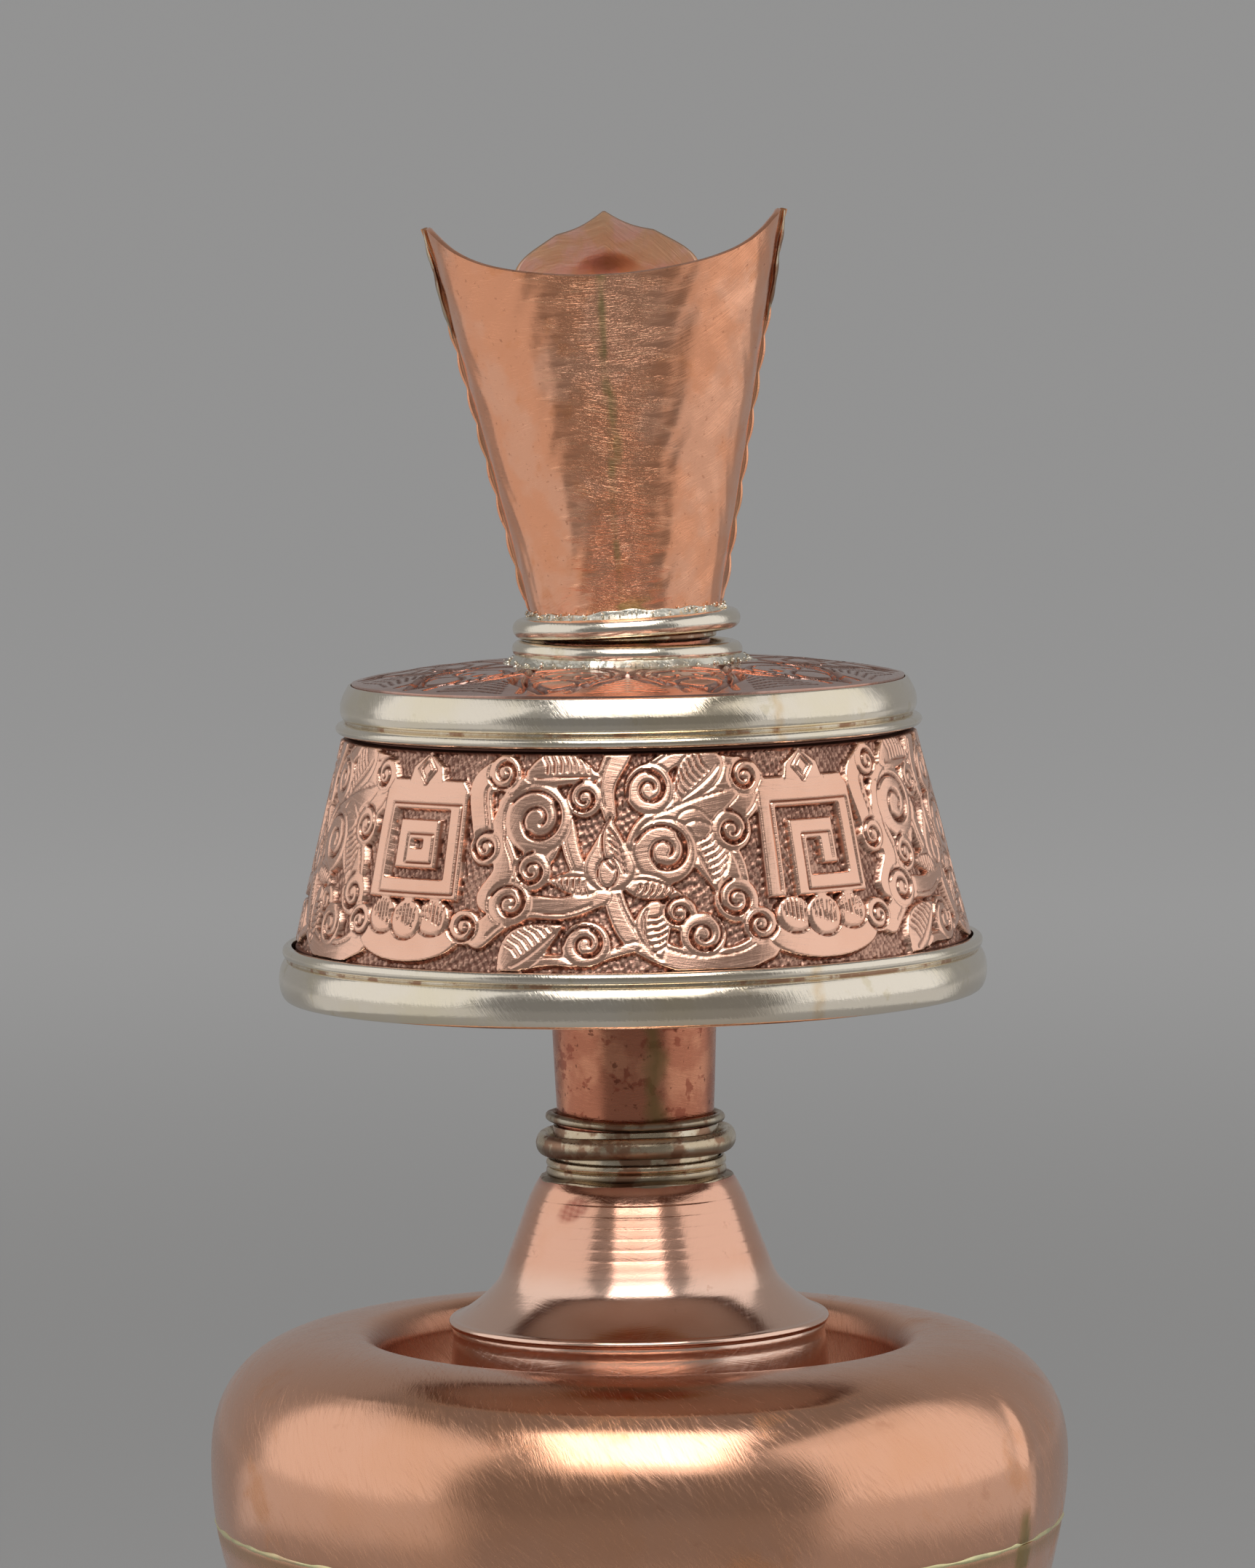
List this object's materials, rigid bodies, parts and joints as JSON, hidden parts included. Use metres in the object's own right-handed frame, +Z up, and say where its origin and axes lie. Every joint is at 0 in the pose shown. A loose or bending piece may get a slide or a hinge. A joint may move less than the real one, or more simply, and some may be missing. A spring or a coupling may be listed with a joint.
{
  "type": "prayer wheel",
  "caption": "Vase with a turning prayer drum on its neck: round belly, flared foot, lift-out neck and horned mouth.",
  "frame": {"origin": "centre of the flat face that the foot stands on", "axes": "+Z up along the vase's axis, -Y towards the plain back of the mouth, +X to the right of someone who looks along +Y"},
  "size_m": [0.11, 0.11, 0.2318],
  "materials": {
    "belly_copper": "satin copper, brushed by hand, with a pale braze line",
    "spun_copper": "polished spun copper with turning lines and heat tint",
    "neck_copper": "mottled copper tube with an olive seam",
    "chased_copper": "chased copper, polished reliefs on a dark punched ground",
    "mouth_copper": "brushed copper sheet with a patinated seam",
    "white_metal": "nickel silver wire, scratched, tarnished in the grooves",
    "bearing_brass": "turned brass",
    "roll_paper": "wound plain paper"
  },
  "bodies": {
    "vase": {"foot_base_plate": "belly_copper", "foot_rim_ring": "white_metal", "foot_pedestal": "belly_copper", "waist_ring": "white_metal", "belly_lower": "belly_copper", "belly_upper": "belly_copper", "neck_cone": "spun_copper", "collar_sleeve": "white_metal", "collar_lower_band": "white_metal", "collar_middle_ring": "white_metal", "collar_wire_ring": "white_metal"},
    "neck": {"neck_tube": "neck_copper", "drum_seat_ring": "bearing_brass", "drum_thrust_washer": "bearing_brass"},
    "drum": {"drum_wall": "chased_copper", "drum_top_plate": "chased_copper", "drum_bottom_plate": "chased_copper", "drum_bottom_rim": "white_metal", "drum_bottom_bead": "white_metal", "drum_top_bead": "white_metal", "drum_top_rim": "white_metal", "drum_collar_ring": "white_metal", "drum_bottom_bush": "bearing_brass", "drum_top_bush": "bearing_brass", "roll_core_tube": "neck_copper", "mantra_roll": "roll_paper"},
    "mouth": {"mouth_spigot": "white_metal", "mouth_base_ring": "white_metal", "mouth_back_shell": "mouth_copper", "mouth_front_plate": "mouth_copper", "mouth_horn_trim_left": "white_metal", "mouth_horn_trim_right": "white_metal"}
  },
  "joints": [
    {"name": "neck_lift", "type": "slide", "parent": "vase", "child": "neck", "axis": [-0.0175, 0, 0.9998], "range_m": [0, 0.03]},
    {"name": "drum_spin", "type": "hinge", "parent": "neck", "child": "drum", "pos_m": [-0.00113, 0, 0.15199], "axis": [-0.0175, 0, 0.9998], "continuous": true},
    {"name": "mouth_lift", "type": "slide", "parent": "neck", "child": "mouth", "axis": [-0.0175, 0, 0.9998], "range_m": [0, 0.03]}
  ]
}
